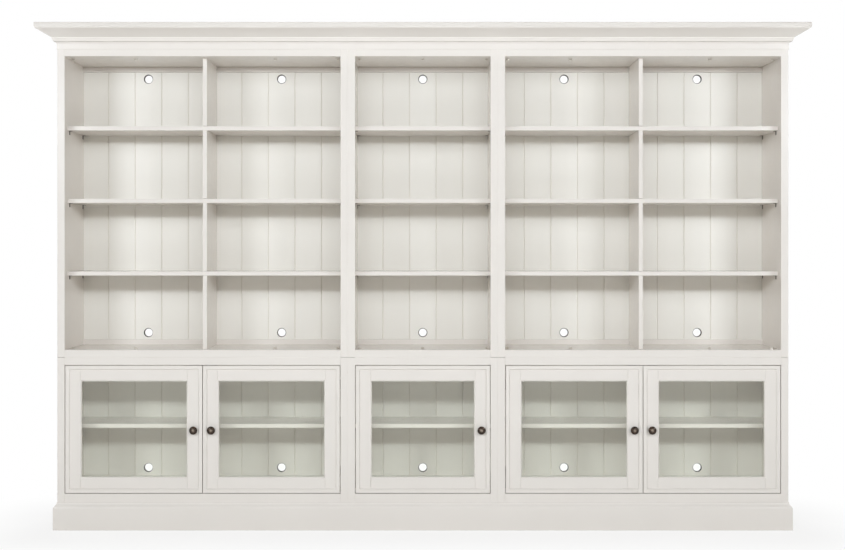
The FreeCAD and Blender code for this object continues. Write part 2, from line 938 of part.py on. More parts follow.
print(len(parts), "sub-parts,", sum(len(shape.Solids) for shape in parts.values()), "solids")
print("all valid:", all(shape.isValid() for shape in parts.values()))
print("overall:", body_width + 2 * crown_proud, "x", overall_depth, "x", crown_top)
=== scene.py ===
# %% [markdown]
# # Dressing a white painted wall unit
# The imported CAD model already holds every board, door and hinge at its real size. What it
# lacks is looks: lacquer, glass, bronze, smooth mouldings and the small screws. This script
# adds them one at a time, then sets up the light and the camera. It reads from top to
# bottom like a notebook, and each step first says what the real thing is.

# %% Load the frame
import json
import math

import bmesh
import bpy
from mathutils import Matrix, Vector


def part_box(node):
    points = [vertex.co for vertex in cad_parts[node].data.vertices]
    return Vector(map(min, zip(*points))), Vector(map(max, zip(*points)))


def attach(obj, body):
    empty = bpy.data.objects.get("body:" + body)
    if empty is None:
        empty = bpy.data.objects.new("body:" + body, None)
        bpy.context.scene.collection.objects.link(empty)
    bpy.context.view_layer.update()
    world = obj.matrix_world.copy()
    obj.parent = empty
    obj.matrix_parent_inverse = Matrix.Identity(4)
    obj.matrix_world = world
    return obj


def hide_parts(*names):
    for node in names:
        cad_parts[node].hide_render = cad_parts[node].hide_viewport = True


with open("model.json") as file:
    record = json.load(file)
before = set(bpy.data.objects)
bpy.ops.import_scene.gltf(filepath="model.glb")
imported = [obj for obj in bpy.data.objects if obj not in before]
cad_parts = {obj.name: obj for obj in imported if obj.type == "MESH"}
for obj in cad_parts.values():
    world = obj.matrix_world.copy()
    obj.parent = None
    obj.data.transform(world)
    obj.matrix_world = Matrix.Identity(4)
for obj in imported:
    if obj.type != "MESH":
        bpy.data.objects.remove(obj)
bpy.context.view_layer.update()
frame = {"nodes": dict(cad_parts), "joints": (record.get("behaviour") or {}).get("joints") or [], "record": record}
nodes = frame["nodes"]

# %% [markdown]
# ## Places that come up again
# The frame is in metres, with the floor at zero, X to the right and the front facing -Y.

# %% Main planes and bays
MM = 0.001
half_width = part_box("right_base_sides")[1].x
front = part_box("centre_base_face_frame")[0].y
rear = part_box("centre_base_sides")[1].y
back_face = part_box("centre_hutch_back")[0].y
back_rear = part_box("centre_hutch_back")[1].y
units = ("left", "centre", "right")
doors = ("left_outer_door", "left_inner_door", "centre_door", "right_inner_door", "right_outer_door")


def bay_middles(unit):
    """The middle of each bay: a loose shelf has corners at its two ends only."""
    ends = sorted({round(v.co.x, 5) for v in nodes[unit + "_base_shelves"].data.vertices})
    return [(a + b) / 2 for a, b in zip(ends[::2], ends[1::2])]


bays = {unit: bay_middles(unit) for unit in units}
print("front", round(front, 5), "rear", round(rear, 5), "bays", bays)

# %% [markdown]
# ## One way to add a node
# Every material below is a small tree of shader nodes, and every repeated piece is a small
# tree of geometry nodes. One helper serves both: it adds a node, sets it up, and fills its
# inputs with plain values or with the outputs of nodes made before it.

# %% Helpers for nodes and colours
def add_node(tree, kind, inputs=(), **settings):
    """Add a node; inputs maps a socket's name or number to a value or to an output socket."""
    node = tree.nodes.new(kind)
    for name, value in settings.items():
        setattr(node, name, value)
    for key, value in dict(inputs).items():
        if isinstance(value, bpy.types.NodeSocket):
            tree.links.new(value, node.inputs[key])
        else:
            node.inputs[key].default_value = value
    return node


def linear(colour):
    """An sRGB hex colour as the linear light that shader sockets take."""
    values = [int(colour[i:i + 2], 16) / 255 for i in (1, 3, 5)]
    return [v / 12.92 if v <= 0.04045 else ((v + 0.055) / 1.055) ** 2.4 for v in values] + [1]


def new_material(name):
    """An empty material, its tree and its Object coordinates."""
    material = bpy.data.materials.new(name)
    material.use_nodes = True
    tree = material.node_tree
    tree.nodes.clear()
    place = add_node(tree, "ShaderNodeTexCoord").outputs["Object"]
    return material, tree, place


def show(tree, shader):
    """Send a shader to the material's output."""
    add_node(tree, "ShaderNodeOutputMaterial", {"Surface": shader.outputs[0]})


print("sRGB #808080 is", round(linear("#808080")[0], 3), "in linear light")

# %% [markdown]
# ## Satin lacquer on wood
# The boards are poplar and fibreboard under a sprayed pigmented lacquer. Spraying leaves no
# brush marks, only a faint orange peel about 2 mm across, and the film is a little thicker
# in some places than in others, so the warm white drifts by a few levels over a quarter of
# a metre. Satin means a broad, soft highlight.

# %% The lacquer
def satin_lacquer(name, light, deep, spread):
    """Sprayed satin lacquer whose tone drifts between two colours over a given spread."""
    material, tree, place = new_material(name)
    drift = add_node(tree, "ShaderNodeTexNoise", {"Vector": place, "Scale": 1 / spread, "Detail": 2})
    tone = add_node(tree, "ShaderNodeMix", {
        "Factor": drift.outputs[0], 6: linear(deep), 7: linear(light),
    }, data_type="RGBA")
    sheen = add_node(tree, "ShaderNodeTexNoise", {"Vector": place, "Scale": 1 / 0.03, "Detail": 3})
    gloss = add_node(tree, "ShaderNodeMapRange", {
        "Value": sheen.outputs[0], "To Min": 0.18, "To Max": 0.28,
    })
    peel = add_node(tree, "ShaderNodeTexNoise", {"Vector": place, "Scale": 1 / 0.002, "Detail": 1})
    bump = add_node(tree, "ShaderNodeBump", {
        "Height": peel.outputs[0], "Strength": 0.25, "Distance": 0.00004,
    })
    show(tree, add_node(tree, "ShaderNodeBsdfPrincipled", {
        "Base Color": tone.outputs[2], "Roughness": gloss.outputs[0],
        "IOR": 1.5, "Normal": bump.outputs[0],
    }))
    return material


white_lacquer = satin_lacquer("satin_white_lacquer", "#ECE6DF", "#E7E1DA", 0.28)
print("made", white_lacquer.name)

# %% [markdown]
# ## Painted beadboard
# The backs are thin fibreboard panels, grooved every 128 mm to look like planks and
# roller-coated in the same white. Their colour here is paler than the lacquer on the fronts:
# painted light, making up for the shade the deep backs stand in. A roller leaves faint
# upright streaks, and each plank takes the paint a shade differently. The plank's number
# comes from its place in X, and white noise turns that number into a tone that stays the
# same over the whole plank. The bottom of each groove is darker: painted shade, as in a recess.

# %% The beadboard, one material for each unit
PLANK = 128 * MM


def painted_beadboard(unit):
    """Roller-coated grooved board, with a plank centred on the unit's first bay."""
    material, tree, place = new_material(unit + "_painted_beadboard")
    x = add_node(tree, "ShaderNodeSeparateXYZ", {"Vector": place}).outputs["X"]
    planks = add_node(tree, "ShaderNodeMath", {
        0: x, 1: 1 / PLANK, 2: 0.5 - bays[unit][0] / PLANK,
    }, operation="MULTIPLY_ADD")
    number = add_node(tree, "ShaderNodeMath", {0: planks.outputs[0]}, operation="FLOOR")
    plank_tone = add_node(tree, "ShaderNodeTexWhiteNoise", {"W": number.outputs[0]}, noise_dimensions="1D")
    upright = add_node(tree, "ShaderNodeMapping", {
        "Vector": place, "Scale": (1 / 0.02, 1 / 0.02, 1 / 0.7),
    })
    streaks = add_node(tree, "ShaderNodeTexNoise", {"Vector": upright.outputs[0], "Scale": 1, "Detail": 2})
    blend = add_node(tree, "ShaderNodeMix", {
        "Factor": 0.45, 2: streaks.outputs[0], 3: plank_tone.outputs[0],
    })
    # Paler than the fronts' lacquer: painted light on the deep backs.
    lightened_coat = add_node(tree, "ShaderNodeMix", {
        "Factor": blend.outputs[0], 6: linear("#F2EFE7"), 7: linear("#F5F2EB"),
    }, data_type="RGBA")
    across = add_node(tree, "ShaderNodeMath", {0: planks.outputs[0]}, operation="FRACT")
    from_middle = add_node(tree, "ShaderNodeMath", {0: across.outputs[0], 1: 0.5}, operation="SUBTRACT")
    sideways = add_node(tree, "ShaderNodeMath", {0: from_middle.outputs[0]}, operation="ABSOLUTE")
    # The share of a plank from its middle to its edge is 0.5, so this painted shade fades in over
    # the last 2.2 to 1.0 mm on either side of a groove.
    groove_shade = add_node(tree, "ShaderNodeMapRange", {
        "Value": sideways.outputs[0],
        "From Min": 0.5 - 2.2 * MM / PLANK, "From Max": 0.5 - 1.0 * MM / PLANK,
    })
    # Painted shade: the grooves' darker tone.
    tone = add_node(tree, "ShaderNodeMix", {
        "Factor": groove_shade.outputs[0], 6: lightened_coat.outputs[2], 7: linear("#E7E2D8"),
    }, data_type="RGBA")
    bump = add_node(tree, "ShaderNodeBump", {
        "Height": streaks.outputs[0], "Strength": 0.3, "Distance": 0.00008,
    })
    show(tree, add_node(tree, "ShaderNodeBsdfPrincipled", {
        "Base Color": tone.outputs[2], "Roughness": 0.3, "IOR": 1.5, "Normal": bump.outputs[0],
    }))
    return material


beadboard = {unit: painted_beadboard(unit) for unit in units}
print("made", [m.name for m in beadboard.values()])

# %% [markdown]
# ## Float glass
# The panes are 4 mm float glass. It is flat and smooth, and its iron turns what lies behind
# it faintly green. Cycles traces no lamp light through refracting glass, which would leave
# the cupboards black. So to shadow rays and to rays that bounce about inside the cupboards,
# the same pane is plain tinted transparency.

# %% The glass
def float_glass():
    """Refracting glass to the camera, and plain tinted transparency to shadow and diffuse rays."""
    material, tree, place = new_material("clear_float_glass")
    ripple = add_node(tree, "ShaderNodeTexNoise", {"Vector": place, "Scale": 1 / 0.12, "Detail": 0})
    wave = add_node(tree, "ShaderNodeBump", {
        "Height": ripple.outputs[0], "Strength": 0.1, "Distance": 0.0002,
    })
    pane = add_node(tree, "ShaderNodeBsdfPrincipled", {
        "Base Color": linear("#FEFFFC"), "Roughness": 0.0, "IOR": 1.5,
        "Transmission Weight": 1.0, "Normal": wave.outputs[0],
    })
    tint = add_node(tree, "ShaderNodeBsdfTransparent", {"Color": linear("#FDFEFB")})
    path = add_node(tree, "ShaderNodeLightPath").outputs
    soft = add_node(tree, "ShaderNodeMath", {
        0: path["Is Shadow Ray"], 1: path["Is Diffuse Ray"],
    }, operation="MAXIMUM")
    show(tree, add_node(tree, "ShaderNodeMixShader", {
        "Fac": soft.outputs[0], 1: pane.outputs[0], 2: tint.outputs[0],
    }))
    return material


glass = float_glass()
print("made", glass.name)

# %% [markdown]
# ## Oil-rubbed bronze
# Knobs and shelf brackets have a dark chemical patina over a copper-coloured metal.
# Handling rubs the raised parts back, so brown shows through in small cloudy patches, and
# the rubbed patches are smoother than the patina round them. A point attribute, set on the
# knobs below, shows pale grey metal by its amount: partly metal rubbed bare, partly a painted
# highlight where the lamps would glint. Where a piece has no such attribute, it reads zero.

# %% The bronze
def oil_rubbed_bronze():
    """Dark patina with cloudy rubbed patches, and bare metal by the wear attribute."""
    material, tree, place = new_material("oil_rubbed_bronze")
    clouds = add_node(tree, "ShaderNodeTexNoise", {
        "Vector": place, "Scale": 1 / 0.009, "Detail": 4, "Roughness": 0.6,
    })
    rubbed = add_node(tree, "ShaderNodeMapRange", {
        "Value": clouds.outputs[0], "From Min": 0.5, "From Max": 0.72,
    })
    tone = add_node(tree, "ShaderNodeMix", {
        "Factor": rubbed.outputs[0], 6: linear("#241E1B"), 7: linear("#6A5446"),
    }, data_type="RGBA")
    wear_and_highlight = add_node(tree, "ShaderNodeAttribute", attribute_name="wear_and_highlight")
    # Pale grey metal by the attribute: a little rubbed bare at a knob's rim, a painted highlight on its button.
    bared_and_highlit = add_node(tree, "ShaderNodeMix", {
        "Factor": wear_and_highlight.outputs["Fac"], 6: tone.outputs[2], 7: linear("#968A7D"),
    }, data_type="RGBA")
    gloss = add_node(tree, "ShaderNodeMapRange", {
        "Value": rubbed.outputs[0], "To Min": 0.28, "To Max": 0.18,
    })
    show(tree, add_node(tree, "ShaderNodeBsdfPrincipled", {
        "Base Color": bared_and_highlit.outputs[2], "Metallic": 1.0, "Roughness": gloss.outputs[0],
    }))
    return material


bronze = oil_rubbed_bronze()
print("made", bronze.name)

# %% [markdown]
# ## Nickel plate
# Hinges and small screws are pressed steel with a thin bright nickel plate. Tumbling in the
# plating barrel leaves fine random scratches, drawn here 1 mm wide so that they show at all.

# %% The nickel
def nickel_plate():
    """Bright plate whose gloss varies with fine scratches."""
    material, tree, place = new_material("barrel_plated_nickel")
    scratches = add_node(tree, "ShaderNodeTexNoise", {
        "Vector": place, "Scale": 1 / 0.001, "Detail": 2, "Distortion": 1.5,
    })
    gloss = add_node(tree, "ShaderNodeMapRange", {
        "Value": scratches.outputs[0], "To Min": 0.18, "To Max": 0.36,
    })
    tone = add_node(tree, "ShaderNodeMix", {
        "Factor": scratches.outputs[0], 6: linear("#BDB8AF"), 7: linear("#D2CEC6"),
    }, data_type="RGBA")
    show(tree, add_node(tree, "ShaderNodeBsdfPrincipled", {
        "Base Color": tone.outputs[2], "Metallic": 1.0, "Roughness": gloss.outputs[0],
    }))
    return material


nickel = nickel_plate()
print("made", nickel.name)

# %% [markdown]
# ## Moulded nylon
# The catches are white nylon from a spark-eroded mould, which gives a fine even grain and
# almost no gloss.

# %% The nylon
def moulded_nylon():
    """Almost dull white plastic with a fine grain."""
    material, tree, place = new_material("moulded_white_nylon")
    grain = add_node(tree, "ShaderNodeTexNoise", {"Vector": place, "Scale": 1 / 0.0012, "Detail": 2})
    bump = add_node(tree, "ShaderNodeBump", {
        "Height": grain.outputs[0], "Strength": 0.4, "Distance": 0.00006,
    })
    tone = add_node(tree, "ShaderNodeMix", {
        "Factor": grain.outputs[0], 6: linear("#E4E2DD"), 7: linear("#EBE9E5"),
    }, data_type="RGBA")
    show(tree, add_node(tree, "ShaderNodeBsdfPrincipled", {
        "Base Color": tone.outputs[2], "Roughness": 0.6, "IOR": 1.53, "Normal": bump.outputs[0],
    }))
    return material


nylon = moulded_nylon()
print("made", nylon.name)

# %% [markdown]
# ## Giving the CAD nodes their finish
# Each node's slot in the record says what it is made of. A node's mesh isn't touched: only
# the materials in its slots change.

# %% Assign finishes by slot
finish_of = {
    "white_painted_wood": white_lacquer, "clear_glass": glass, "dark_bronze": bronze,
    "nickel_plate": nickel, "white_plastic": nylon,
}
for row in frame["record"]["subparts"]:
    name, slot = row["node"], row["material_slot"]
    chosen = beadboard[name.split("_")[0]] if slot == "painted_beadboard" else finish_of[slot]
    for material_slot in nodes[name].material_slots:
        material_slot.material = chosen

# %% [markdown]
# ## Growing a piece with geometry nodes
# A tree of geometry nodes turns a simple starting mesh into a finished piece. The result is
# kept as a plain mesh: the evaluated object is copied and the modifier taken off, so that
# nothing live is left on the piece.

# %% Helpers for geometry trees
def new_tree(title, **inputs):
    """A geometry tree with named inputs, and its input node."""
    tree = bpy.data.node_groups.new(title, "GeometryNodeTree")
    tree.interface.new_socket("Geometry", in_out="INPUT", socket_type="NodeSocketGeometry")
    for name, kind in inputs.items():
        tree.interface.new_socket(name.replace("_", " "), in_out="INPUT", socket_type="NodeSocket" + kind)
    tree.interface.new_socket("Geometry", in_out="OUTPUT", socket_type="NodeSocketGeometry")
    return tree, add_node(tree, "NodeGroupInput")


def grow(name, tree, start, **values):
    """Run a tree on a starting mesh, with its inputs set by socket, and keep the result."""
    piece = bpy.data.objects.new(name, start)
    bpy.context.scene.collection.objects.link(piece)
    modifier = piece.modifiers.new(tree.name, "NODES")
    modifier.node_group = tree
    for item in tree.interface.items_tree:
        key = item.name.replace(" ", "_")
        if item.in_out == "INPUT" and key in values:
            modifier[item.identifier] = values[key]
    mesh = bpy.data.meshes.new_from_object(piece.evaluated_get(bpy.context.evaluated_depsgraph_get()))
    piece.modifiers.clear()
    piece.data = mesh
    mesh.name = name
    bpy.data.meshes.remove(start)
    return piece


def polyline(points):
    """A mesh of points joined one to the next, as the start of a moulding or a turned piece."""
    mesh = bpy.data.meshes.new("line")
    mesh.from_pydata(points, [(k, k + 1) for k in range(len(points) - 1)], [])
    return mesh


def bowed(start, steps, fineness=8):
    """Points along straight and bowed steps; each step is a point and its bulge as a share."""
    points = [start]
    for (u, v), bulge in steps:
        u0, v0 = points[-1]
        count = fineness if bulge else 1
        for k in range(1, count + 1):
            t = k / count
            rise = 4 * t * (1 - t) * bulge
            points.append((u0 + (u - u0) * t - (v - v0) * rise, v0 + (v - v0) * t + (u - u0) * rise))
    return points


def smooth(piece, angle=30):
    """Outward faces, and smooth shading except over edges sharper than the angle."""
    work = bmesh.new()
    work.from_mesh(piece.data)
    bmesh.ops.remove_doubles(work, verts=work.verts, dist=1e-6)
    ends = [edge for edge in work.edges if edge.is_boundary]
    bmesh.ops.holes_fill(work, edges=ends)
    bmesh.ops.recalc_face_normals(work, faces=work.faces)
    work.to_mesh(piece.data)
    work.free()
    piece.data.shade_smooth()
    piece.data.set_sharp_from_angle(angle=math.radians(angle))
    return piece


print("a bowed step has", len(bowed((0, 0), [((1, 0), 0.2)])) - 1, "straight parts")

# %% [markdown]
# ## Mouldings that run round three sides
# Crown and skirting are lengths of moulding, mitred at the two front corners. A sweep along
# a curve thins out at sharp corners, so the rule is written out instead: a grid has one row
# for each of the four stations (rear end, corner, corner, rear end) and one column for each
# point of the section, and a point that stands proud by some distance is moved outwards by
# just that distance on every side. That is exactly what a mitre does.

# %% A tree that runs a moulding
def moulding_tree():
    """A tree that runs a section, given as a line, round the left, front and right sides."""
    tree, given = new_tree("Run a moulding", Half_Width="Float", Front="Float", Rear="Float",
                           Finish="Material")
    section = given.outputs["Geometry"]
    count = add_node(tree, "GeometryNodeAttributeDomainSize", {"Geometry": section}).outputs["Point Count"]
    grid = add_node(tree, "GeometryNodeMeshGrid", {"Vertices X": 4, "Vertices Y": count})
    index = add_node(tree, "GeometryNodeInputIndex").outputs[0]
    place = add_node(tree, "GeometryNodeInputPosition").outputs[0]
    column = add_node(tree, "ShaderNodeMath", {0: index, 1: count}, operation="MODULO").outputs[0]
    share = add_node(tree, "ShaderNodeMath", {0: index, 1: count}, operation="DIVIDE").outputs[0]
    station = add_node(tree, "ShaderNodeMath", {0: share}, operation="FLOOR").outputs[0]
    point = add_node(tree, "GeometryNodeSampleIndex", {
        "Geometry": section, "Value": place, "Index": column,
    }, data_type="FLOAT_VECTOR").outputs[0]
    parts = add_node(tree, "ShaderNodeSeparateXYZ", {0: point}).outputs
    # Stations 0 and 1 are on the left and 2 and 3 on the right; 0 and 3 are at the rear.
    from_middle = add_node(tree, "ShaderNodeMath", {0: station, 1: 1.5}, operation="SUBTRACT").outputs[0]
    side = add_node(tree, "ShaderNodeMath", {0: from_middle}, operation="SIGN").outputs[0]
    distance = add_node(tree, "ShaderNodeMath", {0: from_middle}, operation="ABSOLUTE").outputs[0]
    at_rear = add_node(tree, "ShaderNodeMath", {0: distance, 1: 1.0}, operation="GREATER_THAN").outputs[0]
    reach = add_node(tree, "ShaderNodeMath", {0: given.outputs["Half Width"], 1: parts["X"]}).outputs[0]
    x = add_node(tree, "ShaderNodeMath", {0: reach, 1: side}, operation="MULTIPLY").outputs[0]
    forward = add_node(tree, "ShaderNodeMath", {
        0: given.outputs["Front"], 1: parts["X"],
    }, operation="SUBTRACT").outputs[0]
    y = add_node(tree, "ShaderNodeMix", {
        "Factor": at_rear, 2: forward, 3: given.outputs["Rear"],
    }).outputs[0]
    target = add_node(tree, "ShaderNodeCombineXYZ", {"X": x, "Y": y, "Z": parts["Z"]}).outputs[0]
    run = add_node(tree, "GeometryNodeSetPosition", {"Geometry": grid.outputs["Mesh"], "Position": target})
    real = add_node(tree, "GeometryNodeRealizeInstances", {"Geometry": run.outputs[0]})
    coated = add_node(tree, "GeometryNodeSetMaterial", {
        "Geometry": real.outputs[0], "Material": given.outputs["Finish"],
    })
    add_node(tree, "NodeGroupOutput", {"Geometry": coated.outputs[0]})
    return tree


run_moulding = moulding_tree()
print("tree", run_moulding.name, "with", len(run_moulding.nodes), "nodes")

# %% [markdown]
# ## The crown
# From the bottom up the crown has a flat frieze, a small hollow, a leaning band with a lip,
# a long cove that is nearly flat, and a fascia with eased edges that carries the top board.
# The CAD section has the same steps in a few flat facets; here each curve gets eight, and
# is shaded smooth.

# %% Crown section and run
# Each step is how far the section stands proud and how high it is, in mm, and its bulge.
crown_steps = [
    ((2, 21), 0), ((15, 35), 0.2), ((19, 46), -0.03), ((21, 47), 0), ((21, 52), 0),
    ((80, 85), 0.012), ((80, 88), 0), ((83, 95), -0.105), ((83, 107.5), 0), ((80.5, 110), -0.2),
    ((61, 110), 0), ((61, 98), 0), ((46, 98), 0), ((-17, 64), 0), ((-17, 0), 0), ((2, 0), 0),
]
crown_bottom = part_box("crown")[0].z
crown_line = [(u * MM, 0, crown_bottom + v * MM) for u, v in bowed((2, 0), crown_steps)]
crown = smooth(grow("crown_moulding", run_moulding, polyline(crown_line),
                    Half_Width=half_width, Front=front, Rear=rear, Finish=white_lacquer))
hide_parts("crown")
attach(crown, "bookcase")
print("crown", len(crown_line), "points round the section,", len(crown.data.polygons), "faces")

# %% [markdown]
# ## The skirting
# The skirting is a flat 16 mm board with an ogee along its top edge, run the same way.

# %% Skirting section and run
skirting_steps = [
    ((16, 95), 0), ((9.5, 109.5), -0.128), ((3, 124), 0.128), ((0, 124), 0), ((0, 0), 0), ((16, 0), 0),
]
skirting_line = [(u * MM, 0, v * MM) for u, v in bowed((16, 0), skirting_steps)]
skirting = smooth(grow("skirting_board", run_moulding, polyline(skirting_line),
                       Half_Width=half_width, Front=front, Rear=rear, Finish=white_lacquer))
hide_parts("skirting")
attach(skirting, "bookcase")
print("skirting", len(skirting.data.polygons), "faces")

# %% [markdown]
# ## The doors' frames
# Each door has a strip round its edge that stands 4.5 mm proud of the stiles and rails, and
# its inner edge is cut back at a slope. That slope draws the line inside each door's outline:
# dark at the top, where it faces down, and light at the bottom. The other edges are only
# eased with sandpaper. The CAD frame has sharp edges, so a copy of it gets these: its
# triangles are sorted into boards, because each board is one closed shell, flat faces are
# made whole again, and the right edges are bevelled. Flat shading suits such small slopes.

# %% Boards out of loose triangles
def boards_of(mesh):
    """The mesh's triangles, as places of points, in one list for each closed board."""
    boards, triangles, unmatched = [], [], set()
    for polygon in mesh.polygons:
        points = [tuple(round(c, 6) for c in mesh.vertices[i].co) for i in polygon.vertices]
        triangles.append(points)
        for edge in zip(points, points[1:] + points[:1]):
            unmatched ^= {edge[::-1] if edge[::-1] in unmatched else edge}
        if not unmatched:
            boards.append(triangles)
            triangles = []
    return boards


def shell_of(triangles):
    """A board's triangles as one joined shell with whole flat faces."""
    work = bmesh.new()
    corner = {place: work.verts.new(place) for place in sorted({p for t in triangles for p in t})}
    for points in triangles:
        if len(set(points)) == 3:
            work.faces.new([corner[p] for p in points])
    work.normal_update()
    bmesh.ops.dissolve_limit(work, angle_limit=0.005, verts=work.verts, edges=work.edges)
    return work


print("boards in a door frame", len(boards_of(nodes["centre_door_frame"].data)))


# %% Bevels on a board
def near(a, b):
    """Whether two places along an axis are the same, to a tenth of a millimetre."""
    return abs(a - b) < 0.1 * MM


def square_edges(work):
    """Outward edges of about 90 degrees that run level or upright, parallel to the front."""
    return [e for e in work.edges if e.is_manifold and e.is_convex and e.calc_face_angle() > 1.2
            and near(*[v.co.y for v in e.verts])
            and (near(*[v.co.x for v in e.verts]) or near(*[v.co.z for v in e.verts]))]


def bevel(work, wanted, width, steps):
    """Bevel a board's square edges whose ends pass a test, and return how many they are."""
    edges = [e for e in square_edges(work) if all(wanted(v.co) for v in e.verts)]
    bmesh.ops.bevel(work, geom=edges, offset=width, offset_type="OFFSET", segments=steps,
                    profile=0.5, affect="EDGES")
    return len(edges)


first_board = shell_of(boards_of(nodes["centre_door_frame"].data)[0])
print("a door's first board has", len(square_edges(first_board)), "square edges along its faces")
first_board.free()


# %% A frame out of reworked boards
def rework(node, body, shape):
    """Replace a frame by a copy whose boards have been through shape, which counts its cuts."""
    whole, cuts = bmesh.new(), 0
    for triangles in boards_of(nodes[node].data):
        work = shell_of(triangles)
        cuts += shape(work)
        assert all(e.is_manifold for e in work.edges)
        board = bpy.data.meshes.new("board")
        work.to_mesh(board)
        work.free()
        whole.from_mesh(board)
        bpy.data.meshes.remove(board)
    name = node.replace("_frame", "_eased_frame")
    mesh = bpy.data.meshes.new(name)
    whole.to_mesh(mesh)
    whole.free()
    mesh.materials.append(white_lacquer)
    frame_copy = bpy.data.objects.new(name, mesh)
    bpy.context.scene.collection.objects.link(frame_copy)
    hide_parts(node)
    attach(frame_copy, body)
    print(name, "with", cuts, "cuts and", len(mesh.polygons), "faces")


# %% The doors' strips, stiles and rails
STRIP, SETBACK = 19 * MM, 4.5 * MM
LIP_SLOPE, SANDED_EDGE = 3.6 * MM, 1.1 * MM


def faces_front(point):
    """Whether a point is on the proud strip or on the stiles and rails behind it."""
    return near(point.y, front) or near(point.y, front + SETBACK)


def on_lip(point, low, high):
    """Whether a point is on the inner edge of the proud strip of a door with this box."""
    return near(point.y, front) and (
        near(point.x, low.x + STRIP) or near(point.x, high.x - STRIP)
        or near(point.z, low.z + STRIP) or near(point.z, high.z - STRIP))


def ease_door(work, low, high):
    """Slope the lip of the strip, then round every other edge at the front a little."""
    lips = bevel(work, lambda point: on_lip(point, low, high), LIP_SLOPE, 1)
    return lips + bevel(work, faces_front, SANDED_EDGE, 2)


for door in doors:
    door_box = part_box(door + "_frame")
    rework(door + "_frame", door, lambda work: ease_door(work, *door_box))

# %% [markdown]
# ## The line between hutch and base
# A thin dark line crosses the stiles where the hutches stand on the bases. The foot of each
# hutch stile is cut on a plane that rises towards the front, so that it stands on its rear
# part and a narrow wedge of shadow stays open. A slope of 45 degrees wouldn't do: it takes
# light from the floor and is hardly darker than the front.

# %% The hutches' face frames
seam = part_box("left_hutch_face_frame")[0].z
WEDGE_RISE, WEDGE_DEPTH = 1.8 * MM, 7 * MM


def undercut(work):
    """Cut the wedge off a stile's foot and close the cut. A rail stays as it is."""
    width, height = [max(v.co[i] for v in work.verts) - min(v.co[i] for v in work.verts) for i in (0, 2)]
    if width > height:
        return 0
    result = bmesh.ops.bisect_plane(
        work, geom=[*work.verts, *work.edges, *work.faces], plane_co=(0, front, seam + WEDGE_RISE),
        plane_no=(0, -WEDGE_RISE, -WEDGE_DEPTH), clear_outer=True)
    cut = [part for part in result["geom_cut"] if isinstance(part, bmesh.types.BMEdge)]
    bmesh.ops.contextual_create(work, geom=cut)
    return 1


for unit in units:
    rework(unit + "_hutch_face_frame", "bookcase", undercut)

# %% [markdown]
# ## Turned pieces
# A knob is turned on a lathe: one outline spun round an axis. The rule is the same grid of
# stations and columns, but each station turns the outline a little further about the Y
# axis. The first and last stations meet, and merging them closes the seam and both poles.

# %% A tree that turns an outline
def turning_tree():
    """A tree that spins an outline, given as a line, round the Y axis and puts it in place."""
    tree, given = new_tree("Turn an outline", Steps="Int", Place="Vector", Finish="Material")
    outline = given.outputs["Geometry"]
    count = add_node(tree, "GeometryNodeAttributeDomainSize", {"Geometry": outline}).outputs["Point Count"]
    stations = add_node(tree, "ShaderNodeMath", {0: given.outputs["Steps"], 1: 1.0}).outputs[0]
    grid = add_node(tree, "GeometryNodeMeshGrid", {"Vertices X": stations, "Vertices Y": count})
    index = add_node(tree, "GeometryNodeInputIndex").outputs[0]
    place = add_node(tree, "GeometryNodeInputPosition").outputs[0]
    column = add_node(tree, "ShaderNodeMath", {0: index, 1: count}, operation="MODULO").outputs[0]
    share = add_node(tree, "ShaderNodeMath", {0: index, 1: count}, operation="DIVIDE").outputs[0]
    station = add_node(tree, "ShaderNodeMath", {0: share}, operation="FLOOR").outputs[0]
    step = add_node(tree, "ShaderNodeMath", {
        0: 2 * math.pi, 1: given.outputs["Steps"],
    }, operation="DIVIDE").outputs[0]
    angle = add_node(tree, "ShaderNodeMath", {0: station, 1: step}, operation="MULTIPLY").outputs[0]
    point = add_node(tree, "GeometryNodeSampleIndex", {
        "Geometry": outline, "Value": place, "Index": column,
    }, data_type="FLOAT_VECTOR").outputs[0]
    turned = add_node(tree, "ShaderNodeVectorRotate", {
        "Vector": point, "Angle": angle,
    }, rotation_type="Y_AXIS").outputs[0]
    target = add_node(tree, "ShaderNodeVectorMath", {0: turned, 1: given.outputs["Place"]}).outputs[0]
    spun = add_node(tree, "GeometryNodeSetPosition", {"Geometry": grid.outputs["Mesh"], "Position": target})
    closed = add_node(tree, "GeometryNodeMergeByDistance", {"Geometry": spun.outputs[0], "Distance": 1e-6})
    real = add_node(tree, "GeometryNodeRealizeInstances", {"Geometry": closed.outputs[0]})
    coated = add_node(tree, "GeometryNodeSetMaterial", {
        "Geometry": real.outputs[0], "Material": given.outputs["Finish"],
    })
    add_node(tree, "NodeGroupOutput", {"Geometry": coated.outputs[0]})
    return tree


turn = turning_tree()
print("tree", turn.name, "with", len(turn.nodes), "nodes")

# %% [markdown]
# ## The knobs
# Each knob has a round foot, a narrow neck, a head that flares out to a thin rim, a dome,
# and a raised button in a groove at its centre. The dome's slope changes all the way in, so
# that it catches the lamps above its middle. The outline runs from the door's face outwards,
# as radius and distance in mm, and its place is read from the knob's own CAD node. Fingers
# rub the rim a little bare. The button is made much paler, most of all at its middle: that
# is a painted highlight, where the lamps would glint on a polished button.

# %% The knob's outline, its wear and its painted highlight
KNOB_LENGTH, BUTTON_RADIUS, RIM_RADIUS = 25.5 * MM, 6.5 * MM, 17 * MM
DOME_START = 23 * MM
knob_steps = [
    ((9, 0), 0), ((9, 2.4), 0), ((8.4, 3), 0.2), ((5.5, 10), 0.16), ((17.9, 17), -0.16),
    ((18.5, 17.6), -0.2), ((18.5, 18.4), 0), ((17.6, 19.3), -0.2), ((7.6, 24.4), -0.14),
    ((6.9, 24), 0), ((6.4, 24.2), 0), ((0, 25.5), -0.12),
]
knob_outline = bowed((0, 0), knob_steps)


